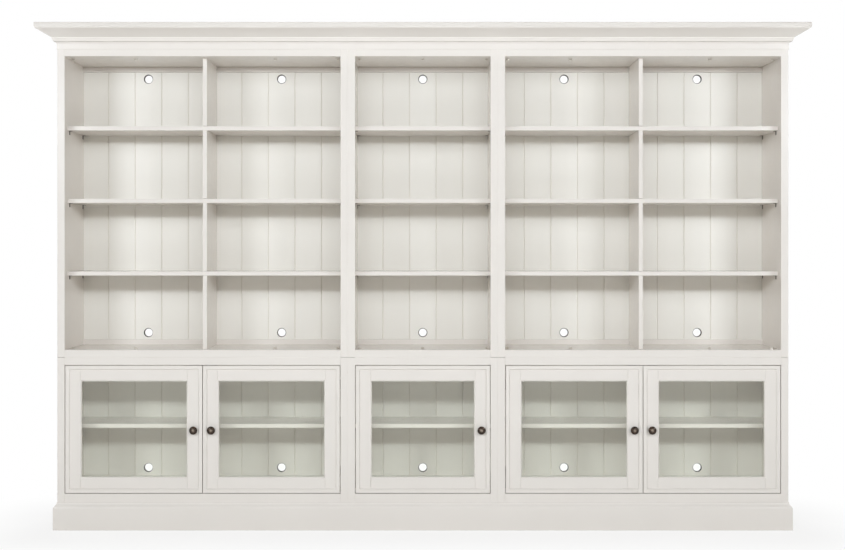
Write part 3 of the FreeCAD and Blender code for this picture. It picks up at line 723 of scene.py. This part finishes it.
def wear_and_highlight_at(radius, distance):
    """How pale the metal is, by the distance from the knob's axis and from the door: a little rubbed bare at the
    rim, and a painted highlight on the button.
    """
    if distance > DOME_START:
        return 1 - 0.5 * min(1, radius / (6.4 * MM)) if radius < BUTTON_RADIUS else 0.1
    return 0.25 if radius > RIM_RADIUS else 0.0


print("knob outline of", len(knob_outline), "points")

# %% Five turned knobs
for door in doors:
    low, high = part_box(door + "_knob")
    middle = Vector(((low.x + high.x) / 2, low.y + KNOB_LENGTH, (low.z + high.z) / 2))
    line = polyline([(r * MM, -d * MM, 0) for r, d in knob_outline])
    knob = smooth(grow(door + "_turned_knob", turn, line, Steps=48, Place=middle, Finish=bronze), 40)
    # The button's high values are a painted highlight; the rim's small value is real wear.
    wear_and_highlight = knob.data.attributes.new("wear_and_highlight", "FLOAT", "POINT")
    for vertex, value in zip(knob.data.vertices, wear_and_highlight.data):
        radius = math.hypot(vertex.co.x - middle.x, vertex.co.z - middle.z)
        value.value = wear_and_highlight_at(radius, middle.y - vertex.co.y)
    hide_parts(door + "_knob")
    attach(knob, door)
print("turned", len(doors), "knobs of", len(knob.data.polygons), "faces")

# %% [markdown]
# ## Setting out repeated fixings
# Screws, bolts and hole liners are each one template set out on many points. Every point
# carries the direction that its fixing faces. A screw stops turning where it gets tight, so
# each one is also spun by a random angle, from a fixed seed so that it never changes.

# %% A tree that sets out fixings
def setting_out_tree():
    """A tree that puts a template on every point, turned to the point's facing attribute."""
    tree, given = new_tree("Set out fixings", Template="Object", Spin="Float", Seed="Int", Finish="Material")
    fixing = add_node(tree, "GeometryNodeObjectInfo", {"Object": given.outputs["Template"]})
    facing = add_node(tree, "GeometryNodeInputNamedAttribute", {"Name": "facing"}, data_type="FLOAT_VECTOR")
    turned = add_node(tree, "FunctionNodeAlignRotationToVector", {"Vector": facing.outputs[0]}, axis="Z")
    spin = add_node(tree, "FunctionNodeRandomValue", {
        "Max": given.outputs["Spin"], "Seed": given.outputs["Seed"],
    }, data_type="FLOAT")
    around = add_node(tree, "ShaderNodeCombineXYZ", {"Z": spin.outputs[1]})
    twist = add_node(tree, "FunctionNodeEulerToRotation", {0: around.outputs[0]})
    driven = add_node(tree, "FunctionNodeRotateRotation", {
        "Rotation": turned.outputs[0], "Rotate By": twist.outputs[0],
    }, rotation_space="LOCAL")
    placed = add_node(tree, "GeometryNodeInstanceOnPoints", {
        "Points": given.outputs["Geometry"], "Instance": fixing.outputs["Geometry"],
        "Rotation": driven.outputs[0],
    })
    real = add_node(tree, "GeometryNodeRealizeInstances", {"Geometry": placed.outputs[0]})
    coated = add_node(tree, "GeometryNodeSetMaterial", {
        "Geometry": real.outputs[0], "Material": given.outputs["Finish"],
    })
    add_node(tree, "NodeGroupOutput", {"Geometry": coated.outputs[0]})
    return tree


setting_out = setting_out_tree()


def set_out(name, template, spots, body, finish, spin=6.28, seed=3):
    """One template on every (place, facing) spot, as one mesh; spin is the widest turn in radians."""
    points = bpy.data.meshes.new("spots")
    points.from_pydata([place for place, _ in spots], [], [])
    facing = points.attributes.new("facing", "FLOAT_VECTOR", "POINT")
    facing.data.foreach_set("vector", [c for _, way in spots for c in way])
    piece = grow(name, setting_out, points, Template=template, Spin=spin, Seed=seed, Finish=finish)
    piece.data.set_sharp_from_angle(angle=math.radians(30))
    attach(piece, body)
    return piece


print("tree", setting_out.name, "with", len(setting_out.nodes), "nodes")

# %% [markdown]
# ## Screw heads
# A screw head is a low drum with a bevelled rim and a recess for the driver. The mesh is
# built ring by ring: outside wall, bevel, a flat filled between the rim and the outline of
# the recess, the recess wall and its floor. These recesses are crosses.

# %% Templates for screws
def circle(radius, sides):
    """The corners of a regular outline with this many sides."""
    angles = [2 * math.pi * k / sides for k in range(sides)]
    return [(radius * math.cos(a), radius * math.sin(a)) for a in angles]


def cross(arm, half):
    """The outline of a cross recess: how far its arms reach and half their width."""
    quarter = [(arm, -half), (arm, half), (half, half)]
    turns = ((1, 0), (0, 1), (-1, 0), (0, -1))
    return [(x * c - y * s, x * s + y * c) for c, s in turns for x, y in quarter]


def column(work, levels):
    """Join outlines of one count, stacked at given heights, into an open tube; returns its rings."""
    rings = [[work.verts.new((x, y, z)) for x, y in outline] for outline, z in levels]
    for low, high in zip(rings, rings[1:]):
        for k in range(len(low)):
            work.faces.new((low[k - 1], low[k], high[k], high[k - 1]))
    return rings


def as_template(name, work):
    """Finish a mesh in the making as a template object with outward faces."""
    bmesh.ops.recalc_face_normals(work, faces=work.faces)
    mesh = bpy.data.meshes.new(name)
    work.to_mesh(mesh)
    work.free()
    mesh.shade_smooth()
    return bpy.data.objects.new(name, mesh)


def screw_head(name, radius, height, recess, depth):
    """A screw head seated at z = 0, with a recess of the given outline and depth in its top."""
    work = bmesh.new()
    rim = column(work, [
        (circle(radius, 20), 0), (circle(radius, 20), height * 0.6), (circle(radius * 0.82, 20), height),
    ])
    work.faces.new(rim[0][::-1])
    well = column(work, [(recess, height), (recess, height - depth)])
    work.faces.new(well[1])
    edges = [work.edges.get((loop[k - 1], loop[k])) or work.edges.new((loop[k - 1], loop[k]))
             for loop in (rim[-1], well[0]) for k in range(len(loop))]
    bmesh.ops.triangle_fill(work, use_beauty=True, edges=edges)
    return as_template(name, work)


flat_head = screw_head("flat_head", 2.9 * MM, 0.8 * MM, cross(1.7 * MM, 0.45 * MM), 0.6 * MM)
pan_head = screw_head("pan_head", 4.0 * MM, 2.2 * MM, cross(2.3 * MM, 0.6 * MM), 1.6 * MM)
print("flat head", len(flat_head.data.polygons), "faces, pan head", len(pan_head.data.polygons))

# %% [markdown]
# ## Joining bolts
# Bolts go down through each hutch floor into the base below, and up through each ceiling
# into the crown's cleat. Each has a washer, a chamfered hexagon head and a nut at its other
# end. The two sets have different grips, so each has its own template.

# %% Bolts through the floors and ceilings
BOLT_SETBACK, CORNER_INSET = 80 * MM, 21 * MM
bolt_y = front + BOLT_SETBACK
floor_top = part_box("hutch_back_strips")[0].z
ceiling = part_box("hutch_back_strips")[1].z
bolt_low, bolt_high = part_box("joining_bolts")


def bolt_spots(z, way):
    """One bolt in each bay's middle and one in each front corner of every unit."""
    spots = []
    for unit in units:
        low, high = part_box(unit + "_hutch_shelves")
        corners = [low.x + CORNER_INSET, high.x - CORNER_INSET]
        spots += [((x, bolt_y, z), (0, 0, way)) for x in bays[unit] + corners]
    return spots


def hexagon_bolt(name, reach):
    """A washer and head above z = 0, and a shank down to the given reach with a nut on it."""
    work = bmesh.new()
    end = -reach / MM
    # Each stack is a solid, and each row in it a radius, a number of sides and a height in mm.
    stacks = [
        [(9, 20, 0), (9, 20, 1.4), (8.6, 20, 1.7)],
        [(7.2, 6, 1.6), (7.2, 6, 6.2), (6.5, 6, 7)],
        [(3, 12, 0.5), (3, 12, end)],
        [(5.5, 6, 5 + end), (5.5, 6, 0.5 + end)],
    ]
    for stack in stacks:
        rings = column(work, [(circle(r * MM, sides), z * MM) for r, sides, z in stack])
        work.faces.new(rings[0][::-1])
        work.faces.new(rings[-1])
    return as_template(name, work)


floor_bolt = hexagon_bolt("floor_bolt", floor_top - bolt_low.z)
crown_bolt = hexagon_bolt("crown_bolt", bolt_high.z - ceiling)
floor_bolts = set_out("floor_bolts", floor_bolt, bolt_spots(floor_top, 1), "bookcase", nickel)
crown_bolts = set_out("crown_bolts", crown_bolt, bolt_spots(ceiling, -1), "bookcase", nickel)
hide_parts("joining_bolts")
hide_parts("joining_bolts")
print("bolts", len(bolt_spots(0, 1)) * 2, "heads at", round(floor_top, 4), "and", round(ceiling, 4))

# %% [markdown]
# ## Cable-hole liners
# Each round cable hole shows a thin grey ring inside its edge, darkest at the top and faint
# at the bottom. A thin bronze eyelet with a steep cone for its mouth does just that: the top
# of the cone faces down, away from the lamps, and the bottom of it faces up to them. It is
# turned like a knob, once, and set out on the holes that the record lists as mounts.

# %% A liner in every cable hole
liner_steps = [((21.9, 12), 0), ((21.9, 0.2), 0), ((21.5, 0.2), 0), ((18.6, 7), 0.05), ((18.6, 12), 0)]
liner_line = [(r * MM, depth * MM, 0) for r, depth in bowed((18.6, 12), liner_steps)]
liner = smooth(grow("liner", turn, polyline(liner_line), Steps=40, Place=(0, 0, 0), Finish=bronze), 40)
holes = [m["pos_m"] for m in frame["record"]["mounts"] if m["name"].endswith("cable_hole")]
spots = [((x, back_face, z), (0, 0, 1)) for x, _, z in holes]
set_out("cable_hole_liners", liner, spots, "bookcase", bronze, spin=0.0)
print("lined", len(holes), "holes")

# %% [markdown]
# ## Screws in the hinges and catches
# Each hinge cup is held by two flat screws through its flange, each hinge plate by two into
# the side panel, and each catch by two from below. The joints in the record say where each
# door's hinge line is and which way the door runs from it. It runs in the middle of the gap,
# so the door's edge is half a gap further on.

# %% Hinge and catch screws
HALF_GAP, HINGE_INSET = 1.5 * MM, 90 * MM
CUP_INSET, CUP_PITCH, FLANGE_FACE = 22.5 * MM, 20.5 * MM, 20 * MM
PLATE_FACE, PLATE_SETBACK, PLATE_PITCH = 2 * MM, 55 * MM, 16 * MM
CATCH_INSET, CATCH_PITCH = 40 * MM, 16 * MM
catch_low, catch_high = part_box("door_catches")
catch_y = (catch_low.y + catch_high.y) / 2
fixed_spots, catch_spots = [], []
for joint in frame["joints"]:
    door = joint["child"]
    way = -joint["axis"][2]
    edge = joint["pos_m"][0] + way * HALF_GAP
    low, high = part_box(door + "_frame")
    catch_x = (high.x if way > 0 else low.x) - way * CATCH_INSET
    cup_spots = []
    for z in (low.z + HINGE_INSET, high.z - HINGE_INSET):
        for s in (-1, 1):
            cup_place = (edge + way * CUP_INSET, front + FLANGE_FACE, z + s * CUP_PITCH)
            plate_place = (edge + way * PLATE_FACE, front + PLATE_SETBACK, z + s * PLATE_PITCH)
            cup_spots.append((cup_place, (0, 1, 0)))
            fixed_spots.append((plate_place, (way, 0, 0)))
    catch_spots += [((catch_x + s * CATCH_PITCH, catch_y, catch_low.z), (0, 0, -1)) for s in (-1, 1)]
    set_out(door + "_cup_screws", flat_head, cup_spots, door, nickel, seed=5)
set_out("hinge_plate_screws", flat_head, fixed_spots, "bookcase", nickel)
set_out("catch_screws", flat_head, catch_spots, "bookcase", nickel)
print("screws", len(fixed_spots) * 2, "in hinges,", len(catch_spots), "in catches")

# %% [markdown]
# ## Screws round the backs
# Seen from behind, each back panel is screwed round its edge into the side panels and the
# decks, and up its middle into the divider or partition.

# %% Pan-head screws in the back panels
def spread(low, high, spacing):
    """Places between two limits, evenly apart by about the spacing."""
    count = max(1, round((high - low) / spacing))
    return [low + (high - low) * k / count for k in range(count + 1)]


HALF_DECK, EDGE_INSET, CLEARANCE = 9.5 * MM, 5 * MM, 20 * MM
back_spots = []
for unit in units:
    for level, decks in (("_base", "_base_floor_and_top"), ("_hutch", "_hutch_floor_and_ceiling")):
        low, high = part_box(unit + level + "_back")
        deck_low = max(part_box(unit + decks)[0].z, low.z) + HALF_DECK
        deck_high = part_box(unit + decks)[1].z - HALF_DECK
        sides = [low.x + EDGE_INSET, high.x - EDGE_INSET]
        middle = [(low.x + high.x) / 2] if len(bays[unit]) == 2 else []
        upright = spread(deck_low, deck_high, 190 * MM)
        across = [x for x in spread(*sides, 210 * MM)[1:-1] if all(abs(x - m) > CLEARANCE for m in middle)]
        back_spots += [((x, back_rear, z), (0, 1, 0)) for x in sides + middle for z in upright]
        back_spots += [((x, back_rear, z), (0, 1, 0)) for x in across for z in (deck_low, deck_high)]
set_out("back_panel_screws", pan_head, back_spots, "bookcase", nickel)
for template in (flat_head, pan_head, floor_bolt, crown_bolt, liner):
    bpy.data.objects.remove(template)
print("screws in backs", len(back_spots), "and every template removed")

# %% [markdown]
# ## Floor and surroundings
# The photo is cut out on white. The world looks white to the camera, in reflections and
# through the panes, but lights the unit at a low, warm level. The floor is pale paint. To
# those same rays it is mostly white already beside the unit, so that only a soft shadow
# shows, and wholly white from 60 cm away, so that no horizon does.

# %% Rays that see white
def seen_directly(tree):
    """An output that is 1 for camera, glossy and transmission rays and 0 for all others."""
    path = add_node(tree, "ShaderNodeLightPath").outputs
    seen = path["Is Camera Ray"]
    for ray in ("Is Glossy Ray", "Is Transmission Ray"):
        seen = add_node(tree, "ShaderNodeMath", {0: seen, 1: path[ray]}, operation="MAXIMUM").outputs[0]
    return seen


print("white is", linear("#FFFFFF")[:3], "at strength 1")

# %% The floor
floor_mesh = bpy.data.meshes.new("studio_floor")
reach, level = 30, -0.5 * MM
corners = [(x * reach, y * reach, level) for x, y in ((-1, -1), (1, -1), (1, 1), (-1, 1))]
floor_mesh.from_pydata(corners, [], [(0, 1, 2, 3)])
floor = bpy.data.objects.new("studio_floor", floor_mesh)
bpy.context.scene.collection.objects.link(floor)
material, tree, place = new_material("pale_studio_floor")
away = add_node(tree, "ShaderNodeVectorMath", {0: place}, operation="ABSOLUTE")
beyond = add_node(tree, "ShaderNodeVectorMath", {
    0: away.outputs[0], 1: (half_width, rear, 0),
}, operation="SUBTRACT")
outside = add_node(tree, "ShaderNodeVectorMath", {0: beyond.outputs[0], 1: (0, 0, 0)}, operation="MAXIMUM")
distance = add_node(tree, "ShaderNodeVectorMath", {0: outside.outputs[0]}, operation="LENGTH")
fade = add_node(tree, "ShaderNodeMapRange", {
    "Value": distance.outputs["Value"], "From Min": 0.0, "From Max": 0.6, "To Min": 0.78,
}, interpolation_type="SMOOTHSTEP")
share = add_node(tree, "ShaderNodeMath", {0: fade.outputs[0], 1: seen_directly(tree)}, operation="MULTIPLY")
paint = add_node(tree, "ShaderNodeBsdfDiffuse", {"Color": linear("#ECEBE8")})
white = add_node(tree, "ShaderNodeEmission", {"Color": linear("#FFFFFF"), "Strength": 1.0})
show(tree, add_node(tree, "ShaderNodeMixShader", {
    "Fac": share.outputs[0], 1: paint.outputs[0], 2: white.outputs[0],
}))
floor_mesh.materials.append(material)
print("floor", 2 * reach, "m wide at", round(level, 4))

# %% The world
world = bpy.data.worlds.new("white_studio")
bpy.context.scene.world = world
world.use_nodes = True
tree = world.node_tree
tree.nodes.clear()
soft = add_node(tree, "ShaderNodeBackground", {"Color": linear("#FFE6B8"), "Strength": 0.11})
white = add_node(tree, "ShaderNodeBackground", {"Color": linear("#FFFFFF"), "Strength": 1.0})
both = add_node(tree, "ShaderNodeMixShader", {
    "Fac": seen_directly(tree), 1: soft.outputs[0], 2: white.outputs[0],
})
add_node(tree, "ShaderNodeOutputWorld", {"Surface": both.outputs[0]})
print("world lights at", soft.inputs["Strength"].default_value)

# %% [markdown]
# ## Lamps
# The shadows under the shelves are short, with a fairly sharp edge and a long faint tail, but
# hardly any shadow falls sideways. So a row of three low, wide softboxes stands just above
# the unit's height, 4.2 m in front of it. They are only 34 cm tall, which makes the edge, and
# the outer two stand so wide that their mirror images fall just outside the front. A taller,
# weaker one above them makes the tail. One behind, one overhead and one at each end light the
# back, the top board and the end panels, which the lamps in front leave in the dark, and
# hardly change what the camera in front sees. A mirror image of a lamp on satin paint would
# burn a pale band into it, so all but the outer two are polarised: they light the paint but
# leave no glare. All have the colour of cool daylight, against the warm white of the paint.

# %% Softboxes
def softbox(name, place, aim, size, watts, glare=False):
    """A rectangular lamp at a place, aimed at a point; glare says whether gloss mirrors it."""
    lamp = bpy.data.lights.new(name, "AREA")
    lamp.shape = "RECTANGLE"
    lamp.size, lamp.size_y = size
    lamp.energy = watts
    lamp.color = linear("#F2F8FF")[:3]
    holder = bpy.data.objects.new(name, lamp)
    holder.location = place
    holder.rotation_euler = (Vector(aim) - Vector(place)).to_track_quat("-Z", "Y").to_euler()
    holder.visible_glossy = glare
    bpy.context.scene.collection.objects.link(holder)


row = front - 4.2
foot = (0, front, 0.4)
softbox("middle_softbox", (0, row, 2.37), foot, (3.0, 0.34), 50)
softbox("left_softbox", (-3.8, row, 2.37), foot, (1.4, 0.34), 81, glare=True)
softbox("right_softbox", (3.8, row, 2.37), foot, (1.4, 0.34), 81, glare=True)
softbox("upper_softbox", (0, row, 3.0), foot, (4.0, 0.8), 38)
softbox("rear_softbox", (0, 4.5, 2.8), (0, rear, 1.1), (4.0, 1.2), 140)
softbox("overhead_softbox", (0, 0.3, 4.5), (0, 0.3, 0), (3.6, 0.6), 48)
for side in (-1, 1):
    softbox(f"end_softbox_{side:+d}", (side * 4.4, 0.5, 2.1), (side * 1.7, 0.1, 1.1), (0.8, 1.6), 28)
print(len(bpy.data.lights), "softboxes")

# %% [markdown]
# ## Camera
# The photo's front plane is 3.828 m wide across the picture. Seen from 1.258 m above the
# floor, floors and ceilings shrink towards the same level, so the camera looks straight
# ahead from there, and a shift by 23 of the picture's 845 pixels moves the frame down to
# where the photo has it.

# %% The camera
distance, eye_height, picture_width = 5.8, 1.258, 3.828
camera = bpy.data.objects.new("camera", bpy.data.cameras.new("camera"))
camera.location = (-0.0015, front - distance, eye_height)
camera.rotation_euler = (math.radians(90), 0, 0)
camera.data.sensor_width = 36
camera.data.lens = 36 * distance / picture_width
camera.data.shift_y = -23 / 845
bpy.context.scene.collection.objects.link(camera)
bpy.context.scene.camera = camera
bpy.context.scene.view_settings.view_transform = "Standard"
print("lens", round(camera.data.lens, 1), "mm")
